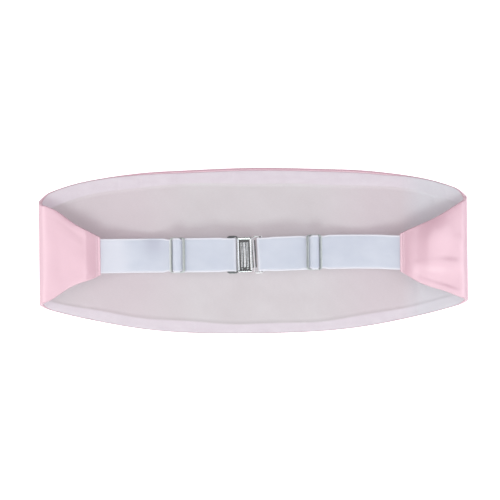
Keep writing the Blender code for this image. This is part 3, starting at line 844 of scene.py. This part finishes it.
def belt(start, start_angle, pegs, tail, longest=1.1 * MM, turn_step=radians(9)):
    """A line round pegs (x, z, radius, side), as rows of x, z and angle.

    The first peg is (radius, side) and touches the start, and the tail leaves the last but one.
    """
    radius, side = pegs[0]
    ahead = heading(start_angle)
    first = (start[0] - side * radius * ahead[1], start[1] + side * radius * ahead[0], radius, side)
    circles = [first] + list(pegs[1:])
    line = [(start[0], start[1], start_angle)]
    angle = start_angle
    for number, (x, z, radius, side) in enumerate(circles[:-1]):
        next_x, next_z, next_radius, next_side = circles[number + 1]
        span = hypot(next_x - x, next_z - z)
        leaving = atan2(next_z - z, next_x - x)
        leaving -= asin((next_side * next_radius - side * radius) / span)
        turn = (leaving - angle + pi) % (2 * pi) - pi
        if abs(turn) > 0.01 and turn * side < 0:
            turn += side * 2 * pi
        steps = max(1, ceil(abs(turn) / turn_step), ceil(abs(turn) * radius / longest))
        for i in range(1, steps + 1):
            at = angle + turn * i / steps
            ahead = heading(at)
            line.append((x + side * radius * ahead[1], z - side * radius * ahead[0], at))
        angle += turn
        ahead = heading(angle)
        straight = sqrt(max(span ** 2 - (next_side * next_radius - side * radius) ** 2, 0.0))
        if number == len(circles) - 2:
            straight = tail
        steps = max(1, ceil(straight / longest))
        from_x, from_z, _ = line[-1]
        for i in range(1, steps + 1):
            run = straight * i / steps
            line.append((from_x + run * ahead[0], from_z + run * ahead[1], angle))
    return line


def slider_bar(strap, number):
    x, z = strap["slider"]
    reach = number * (SLIDER_LENGTH - SLIDER_BAR) / 2
    ahead = heading(radians(strap["slider_tilt"]))
    return (x * MM + reach * ahead[0], z * MM + reach * ahead[1])


def strap_line(strap):
    close = WIRE_RADIUS + SEAM_GAP + ELASTIC_THICK / 2
    offset = HEM_THICK + SEAM_GAP + ELASTIC_THICK / 2
    tucked = []
    for out, z, angle, left_over, *_ in end_profile(strap["level"], 9):
        if left_over <= TUCK_LENGTH:
            deep = offset + float(pressed(-strap["mirror"], left_over))
            x = -out + deep * sin(angle)
            tucked.append((x, z + deep * cos(angle), pi - angle))
    x, z, angle = tucked[-1]
    dip_x, dip_z, dip_radius = (v * MM for v in strap["dip"])
    hump_x, hump_z, hump_radius = (v * MM for v in strap["hump"])
    hump = (hump_x, hump_z - hump_radius)
    outer, middle, inner = (slider_bar(strap, number) for number in (-1, 0, 1))
    pegs = [
        (LEAVE_RADIUS, -1),
        (dip_x, dip_z + dip_radius, dip_radius, 1),
        (*outer, SLIDER_CLOSE, 1),
        (*middle, close + STRAP_PITCH, -1),
        (*inner, SLIDER_CLOSE, 1),
        (*hump, hump_radius, -1),
        (strap["loop_end"] * MM, CLASP_LEVEL, LOOP_RADIUS, -1),
        (strap["bar"] * MM, CLASP_LEVEL, close, -1),
        (*hump, hump_radius - STRAP_PITCH, 1),
        (*inner, SLIDER_CLOSE + STRAP_PITCH, -1),
        (*middle, close, 1),
        (*inner, SLIDER_CLOSE + 2 * STRAP_PITCH, 1),
        (*hump, hump_radius - 2 * STRAP_PITCH, -1),
    ]
    return tucked[:-1] + belt((x, z), angle, pegs, TAIL_LENGTH)


def strap_middle(x):
    return read_rows(STRAP_ROWS, "x", "y", x / MM) * MM


def close_to(at, spot, near, fade):
    """1 near a spot, and down to 0 over the fade."""
    return ease(1 - (abs(at - spot) - near) / fade)


def strap_half_width(strap, along, z):
    slider_x, slider_z = slider_bar(strap, 0)
    clasp = close_to(along, strap["loop_end"] * MM, PINCH_NEAR, PINCH_FADE)
    slider = close_to(along, slider_x, PINCH_NEAR, PINCH_FADE)
    level = slider_z + (along - slider_x) * tan(radians(strap["slider_tilt"]))
    crossing = close_to(z, level, CROSSING_NEAR, CROSSING_FADE)
    return (ELASTIC_WIDTH - CLASP_PINCH * clasp - SLIDER_PINCH * slider * crossing) / 2


def strap_section():
    """Across a strap: share of the half width, inset from the edge, and half the wall."""
    edge = [(inset * MM, half * MM) for inset, half in SELVEDGE]
    rows = [(-1, inset, half) for inset, half in edge]
    rows += [(2 * i / STRAP_STEPS - 1, None, ELASTIC_THICK / 2) for i in range(1, STRAP_STEPS)]
    return rows + [(1, inset, half) for inset, half in reversed(edge)]


def strap_painted_light(strap, along):
    """How much painted light and painted shade a strap has at one place."""
    x = strap["mirror"] * along / MM
    ahead = (along - strap["loop_end"] * MM) / LOOP_RADIUS
    end = END_PAINTED_LIGHT[2] * ease((END_PAINTED_LIGHT[0] - x) / END_PAINTED_LIGHT[1])
    loop = LOOP_PAINTED_LIGHT[2] * past(ahead, LOOP_PAINTED_LIGHT)
    painted_shade = PAINTED_SHADE_FROM[2] * past(x, PAINTED_SHADE_FROM)
    return max(end, loop), painted_shade * ease((PAINTED_SHADE_UNTIL[0] - x) / PAINTED_SHADE_UNTIL[1])


def make_strap(name, strap):
    mirror = strap["mirror"]
    turns = strap["turns"]
    line = np.array(strap_line(strap))
    along, z, angle = line.T
    step = np.hypot(np.diff(along), np.diff(z))
    run = np.concatenate(([0], np.cumsum(step)))
    normal = np.stack((-np.sin(angle), np.cos(angle)), axis=1)
    rows = []
    for i in range(len(line)):
        world_x = mirror * along[i] / MM
        turn = tan(radians(read_rows(turns, "x", "turn", world_x)))
        droop = read_rows(turns, "x", "droop", world_x) * MM
        # Painted light at the left strap's end and on the loops' fronts, and painted shade on a
        # patch of the left strap
        painted_end_and_loop_light, painted_shade = strap_painted_light(strap, along[i])
        near_loop = close_to(along[i], strap["loop_end"] * MM, LEAN_NEAR, LEAN_FADE)
        skew = -near_loop * mirror * tan(radians(strap["lean"]))
        half = strap_half_width(strap, along[i], z[i])
        middle = strap_middle(mirror * along[i])
        inner = half - SELVEDGE_WIDTH
        low_row, high_row, uv_row, painted_light_row = [], [], [], []
        for share, inset, face in strap_section():
            y = share * inner if inset is None else share * (half - inset)
            bow = turn * y - droop * max(y / half, 0) ** 2
            for row, sign in ((low_row, -1), (high_row, 1)):
                px = along[i] + normal[i, 0] * sign * face + skew * y
                pz = z[i] + normal[i, 1] * sign * face + bow
                row.append((mirror * px, middle + y, pz))
            uv_row.append((run[i], y))
            # Painted highlight along the edges with the painted light of this place, less painted
            # shade towards the +Y edge
            painted_light = 1.0 - ease((half - abs(y) - EDGE_PAINTED_LIGHT[0]) / EDGE_PAINTED_LIGHT[1])
            painted_light_row.append(max(painted_light, painted_end_and_loop_light) - painted_shade * ease(0.35 + y / half))
        rows.append((low_row, high_row, uv_row, painted_light_row))
    under, over, cloth, tint = (np.array(part) for part in zip(*rows))
    return wall(name, under, over, cloth, ELASTIC, tint), float(run[-1])


straps = {}
strap_lengths = {}
for side, strap in STRAPS.items():
    straps[side], strap_lengths[side] = make_strap("elastic_strap_" + side, strap)


# Fittings

def rounded_rectangle(length, height, corner, steps=8):
    points = []
    for quarter, (sign_x, sign_y) in enumerate(((1, 1), (-1, 1), (-1, -1), (1, -1))):
        for i in range(steps + 1):
            angle = pi / 2 * (quarter + i / steps)
            x = sign_x * (length / 2 - corner) + corner * cos(angle)
            y = sign_y * (height / 2 - corner) + corner * sin(angle)
            points.append((x, y, angle))
    return points


def circle(sides):
    """Cosines and sines of directions all the way round."""
    return [heading(2 * pi * i / sides) for i in range(sides)]


def squared(value, power):
    return copysign(abs(value) ** power, value)


def bridge(bm, rings, closed=False):
    """Faces from each ring of points to the next, and caps unless the last meets the first."""
    count = len(rings[0])
    for ring, after in zip(rings, rings[1:] + rings[:1] if closed else rings[1:]):
        for i in range(count):
            k = (i + 1) % count
            bm.faces.new((ring[i], ring[k], after[k], after[i]))
    if not closed:
        bm.faces.new(list(reversed(rings[0])))
        bm.faces.new(rings[-1])


def mesh_from(bm, name):
    mesh = bpy.data.meshes.new(name)
    bm.to_mesh(mesh)
    bm.free()
    return mesh


def add_wire_ring(bm, length, height, corner, left=0.0, bar=2 * WIRE_RADIUS, sides=20):
    """A wire bent to a rounded rectangle, with flatter bars where bar is more than its width."""
    rings = []
    for x, y, angle in rounded_rectangle(length, height, corner):
        ring = []
        flat = cos(angle) ** 2 if bar > 2 * WIRE_RADIUS else 0.0
        half = WIRE_RADIUS + (bar / 2 - WIRE_RADIUS) * flat
        power = 2 / (2 + 2.5 * flat)
        for a, b in circle(sides):
            reach = half * squared(a, power)
            rise = WIRE_RADIUS * squared(b, power)
            place = (left + x + reach * cos(angle), y + reach * sin(angle), rise)
            ring.append(bm.verts.new(place))
        rings.append(ring)
    bridge(bm, rings, closed=True)


def add_prism(bm, outline, low, high):
    """A prism along Y on an outline in XZ."""
    bottom = [bm.verts.new((a, low, b)) for a, b in outline]
    bridge(bm, [bottom, [bm.verts.new((a, high, b)) for a, b in outline]])


def add_round_strip(bm, left, right, length, sides=20):
    """A flat strip along Y with rounded edges."""
    outline = []
    for middle, start in ((left, pi / 2), (right, -pi / 2)):
        for i in range(sides // 2 + 1):
            turn = start + pi * i / (sides // 2)
            reach, rise = WIRE_RADIUS * cos(turn), WIRE_RADIUS * sin(turn)
            outline.append((middle + reach, rise))
    add_prism(bm, outline, -length / 2, length / 2)


def add_terraces(bm, length, height, corner, levels, middle=(0.0, 0.0), steps=8):
    """A body built up of rounded rectangles, each (inset, z), closed at both ends."""
    rings = []
    for inset, z in levels:
        at = max(corner - inset, LEAST_CORNER)
        form = rounded_rectangle(length - 2 * inset, height - 2 * inset, at, steps)
        rings.append([bm.verts.new((middle[0] + x, middle[1] + y, z)) for x, y, _ in form])
    bridge(bm, rings)


def finish_metal(name, bm, location, tilt=0.0, turn=0.0, sharp=40, metal=NICKEL):
    bmesh.ops.recalc_face_normals(bm, faces=bm.faces)
    mesh = mesh_from(bm, name)
    mesh.shade_smooth()
    mesh.set_sharp_from_angle(angle=radians(sharp))
    made = link(name, mesh, metal)
    made.location = location
    made.rotation_euler = (0, tilt, turn)
    return made


def make_slider(name, strap):
    bm = bmesh.new()
    height = SLIDER_HEIGHT - 2 * WIRE_RADIUS
    add_wire_ring(bm, SLIDER_LENGTH - SLIDER_BAR, height, SLIDER_CORNER, bar=SLIDER_BAR)
    bar = [(WIRE_RADIUS * a, WIRE_RADIUS * b) for a, b in circle(20)]
    add_prism(bm, bar, -height / 2, height / 2)
    x, z = slider_bar(strap, 0)
    x = strap["mirror"] * x
    tilt = -strap["mirror"] * radians(strap["slider_tilt"])
    return finish_metal(name, bm, (x, strap_middle(x), z), tilt, metal=DULL_NICKEL)


def make_hook():
    """Plate, ribs, bail and tongue, with the plate leaning a little in its loops."""
    lean = radians(PLATE_LEAN)
    middle = PLATE_LEFT + PLATE_LENGTH / 2
    place = (middle, strap_middle(middle), CLASP_LEVEL)
    field = PLATE_BASE / 2
    at = {"back": -field, "field": field, "top": field + RIM_RISE}
    levels = [(inset * MM, at[level] + over * MM) for inset, level, over in PLATE_FORM]
    bm = bmesh.new()
    add_terraces(bm, PLATE_LENGTH, PLATE_HEIGHT, PLATE_CORNER, levels)
    plate = finish_metal("hook_plate", bm, place, turn=lean, sharp=60)
    bm = bmesh.new()
    for row in RIB_ROWS:
        levels = [(0.0, 0.0)]
        for inset, share in row["form"]:
            levels.append((inset * MM, field + RIB_CLEAR + share * row["rise"] * MM))
        rib = (row["place"] * RIB_PITCH, 0.0)
        add_terraces(bm, row["width"] * MM, RIB_LENGTH, RIB_CORNER, levels, rib, steps=5)
    levels = [(inset * MM, field + rise * MM) for inset, rise in DOT_FORM]
    for side in (-1, 1):
        dot = (side * RIB_PITCH, -RIB_LENGTH / 2 - DOT_GAP)
        add_terraces(bm, DOT_WIDTH, DOT_WIDTH, DOT_WIDTH / 2, levels, dot, steps=5)
    ribs = finish_metal("hook_ribs", bm, place, turn=lean, sharp=60)
    bm = bmesh.new()
    bail_right = PLATE_LEFT + BAIL_OVERLAP
    bail_middle = (BAIL_LEFT + bail_right) / 2 - middle
    add_wire_ring(bm, bail_right - BAIL_LEFT, CLASP_WIRE, CLASP_CORNER, left=bail_middle)
    add_round_strip(bm, BAIL_LEFT - middle, BAIL_STRIP - middle, CLASP_WIRE)
    # The bail is in the nickel with painted shade
    bail = finish_metal("hook_bail", bm, place, metal=SHADE_PAINTED_NICKEL)
    bm = bmesh.new()
    inside = -WIRE_RADIUS - SEAM_GAP
    outside = inside - TONGUE_THICK
    tip = EYE_LEFT + WIRE_RADIUS - middle + SEAM_GAP
    far = tip + TONGUE_THICK
    root = EYE_LEFT - WIRE_RADIUS - middle - TONGUE_ROOT
    back = root - TONGUE_LENGTH
    x = (back, back, far, far, tip, tip, root, root)
    z = (0.0, outside, outside, TONGUE_TIP, TONGUE_TIP, inside, inside, 0.0)
    add_prism(bm, list(zip(x, z)), -TONGUE_HEIGHT / 2, TONGUE_HEIGHT / 2)
    tongue = finish_metal("hook_tongue", bm, place, turn=radians(EYE_LEAN))
    return plate, ribs, bail, tongue


def make_eye():
    middle = (EYE_LEFT + EYE_RIGHT) / 2
    bm = bmesh.new()
    add_wire_ring(bm, EYE_RIGHT - EYE_LEFT, CLASP_WIRE, CLASP_CORNER)
    add_round_strip(bm, EYE_STRIP - middle, EYE_RIGHT - middle, CLASP_WIRE)
    place = (middle, strap_middle(middle), CLASP_LEVEL)
    # The eye ring is in the nickel with a painted highlight
    return finish_metal("eye_ring", bm, place, turn=radians(EYE_LEAN), metal=HIGHLIGHT_PAINTED_NICKEL)


sliders = {side: make_slider("wire_slider_" + side, strap) for side, strap in STRAPS.items()}
hook_parts = make_hook()
eye = make_eye()

# Stitches

STITCH_LENGTH = 2.2 * MM
STITCH_GAP = 0.5 * MM
STITCH_INSET = 2.5 * MM
THREAD_RADIUS = 0.14 * MM


def add_stitch(bm, start, end, up, sides=8):
    """One stitch along a short arc, sunk into the cloth at both ends."""
    along = (end - start).normalized()
    aside = along.cross(up).normalized()
    rings = []
    for t in (0.0, 0.06, 0.2, 0.5, 0.8, 0.94, 1.0):
        thin = 0.45 + 0.55 * sin(pi * t) ** 0.4
        rise = 1.5 * sin(pi * t) ** 0.6 - 0.9
        middle = start.lerp(end, t) + up * THREAD_RADIUS * rise
        ring = [middle + (aside * a + up * b) * THREAD_RADIUS * thin for a, b in circle(sides)]
        rings.append([bm.verts.new(point) for point in ring])
    bridge(bm, rings)


def row_of_stitches(low, high):
    places = []
    at = low
    while at + STITCH_LENGTH <= high:
        places += [at, at + STITCH_LENGTH]
        at += STITCH_LENGTH + STITCH_GAP
    return places


def make_end_stitches(profile):
    """A row across each end, on the satin and on the lining side."""
    bm = bmesh.new()
    for side in (-1, 1):
        rows = np.where(profile.side[:, 0] == side)[0]
        row = rows[np.argmin(np.abs(profile.left_over[rows, 0] - GROOVE_INSET))]
        bottom = -profile.bottom[row, 0] + STITCH_INSET
        top = profile.top[row, 0] - STITCH_INSET
        y = np.array(row_of_stitches(bottom, top))[None, :]
        up = Vector((sin(profile.angle[row, 0]) * side, 0, -cos(profile.angle[row, 0])))
        deep = HEM_THICK + STRAP_ROOM + SEAM_GAP + LINING_THICK + 0 * profile.x
        for offset, way in ((profile.stitched_groove(), up), (deep, -up)):
            points = [Vector(p) for p in profile.points(y, offset)[row].tolist()]
            for start, end in zip(points[::2], points[1::2]):
                add_stitch(bm, start, end, way)
    bmesh.ops.recalc_face_normals(bm, faces=bm.faces)
    mesh = mesh_from(bm, "end_stitches")
    mesh.shade_smooth()
    return link("end_stitches", mesh, THREAD)


stitches = make_end_stitches(shell_profile)

# What each piece rides on and stands for

for piece in (shell, lining, *straps.values(), *sliders.values(), *hook_parts, eye, stitches):
    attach(piece, "root")
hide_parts("shell")
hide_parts("lining")
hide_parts("hook")
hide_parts("eye")
for side in STRAPS:
    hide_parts("elastic_" + side)
    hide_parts("slider_" + side)


# Floor, light and camera

FLOOR_HALF = 3.0
FLOOR_LEVEL = -0.05 * MM


def make_floor():
    bm = bmesh.new()
    half = FLOOR_HALF
    corners = ((-half, -half), (half, -half), (half, half), (-half, half))
    bm.faces.new([bm.verts.new((x, y, FLOOR_LEVEL)) for x, y in corners])
    return link("floor", mesh_from(bm, "floor"), make_floor_look())


floor = make_floor()


def add_area(name, place, size, power, color=(1, 1, 1), target=(0, 0, 0)):
    """A lamp of some size that faces its target."""
    light = bpy.data.lights.new(name, "AREA")
    light.shape = "RECTANGLE"
    light.size, light.size_y = size
    light.energy = power
    light.color = color
    made = new_object(name, light)
    made.location = place
    away = Vector(target) - Vector(place)
    made.rotation_euler = away.to_track_quat("-Z", "Y").to_euler()
    made.visible_camera = False
    return made


def add_fill(strength, color):
    """Light that comes through the thin cloth as well as round it, so it throws no shadow."""
    light = bpy.data.lights.new("fill", "SUN")
    light.energy = strength
    light.color = color
    light.angle = radians(60)
    light.use_shadow = False
    new_object("fill", light).visible_glossy = False


add_area("key", (-0.1, -0.92, 1.1), (0.7, 0.45), 8.3, (0.86, 1.0, 0.95))
add_area("side_right", (0.74, 0.0, 0.33), (0.5, 0.9), 2.7, (0.9, 0.95, 1.0), (0.1, 0, 0))
add_area("side_left", (-0.74, 0.0, 0.33), (0.5, 0.9), 2.7, (1, 1, 1), (-0.1, 0, 0))
# The satin's sheen: a panel over each end that only the satin mirrors
satin_only = bpy.data.collections.new("satin_only")
satin_only.objects.link(shell)
for x, y, power in ((-0.348, -0.05, 1.7), (0.348, -0.15, 2.0)):
    gloss = add_area("gloss", (x, y, 0.27), (0.505, 0.4), power, target=(x, y, 0))
    gloss.visible_diffuse = False
    gloss.light_linking.receiver_collection = satin_only
add_fill(1.66, (1.0, 0.93, 0.96))

# The room: pale at the horizon and below, darker overhead and towards the back
world = bpy.data.worlds.new("studio")
bpy.context.scene.world = world
world.use_nodes = True
room = Nodes(world.node_tree)
way = room.add("SeparateXYZ", {0: room.add("TexCoord").outputs["Generated"]}).outputs
height = room.add("ValToRGB", {0: way["Z"]})
stops = height.color_ramp.elements
stops[0].position, stops[0].color = 0.0, (1.0, 1.0, 1.0, 1)
stops[1].position, stops[1].color = 1.0, (0.3, 0.3, 0.305, 1)
stops.new(0.38).color = (0.95, 0.95, 0.95, 1)
stops.new(0.66).color = (0.33, 0.33, 0.335, 1)
front = room.add("MapRange", {
    "Value": way["Y"], "From Min": -0.9, "From Max": 0.7, "To Min": 1.0, "To Max": 0.35,
})
inputs = {0: height.outputs[0], "Scale": front.outputs[0]}
light = room.add("VectorMath", inputs, operation="SCALE").outputs[0]
room.put(room.tree.nodes["Background"].inputs[0], light)
room.put(room.tree.nodes["Background"].inputs[1], 0.9)

# What the picture's middle shows, and its width on the surface: 500 pixels of 1 / 1.36 mm
AIM = (-2.4 * MM, 0.5 * MM)
DISTANCE = 1.5
SPAN = 0.5 / 1.36
SENSOR = 36.0
TURN = -0.7
data = bpy.data.cameras.new("camera")
data.sensor_width = SENSOR
data.lens = SENSOR * DISTANCE / SPAN
camera = new_object("camera", data)
camera.location = (*AIM, DISTANCE)
camera.rotation_euler = (0, 0, radians(TURN))
bpy.context.scene.camera = camera
bpy.context.scene.view_settings.view_transform = "Standard"
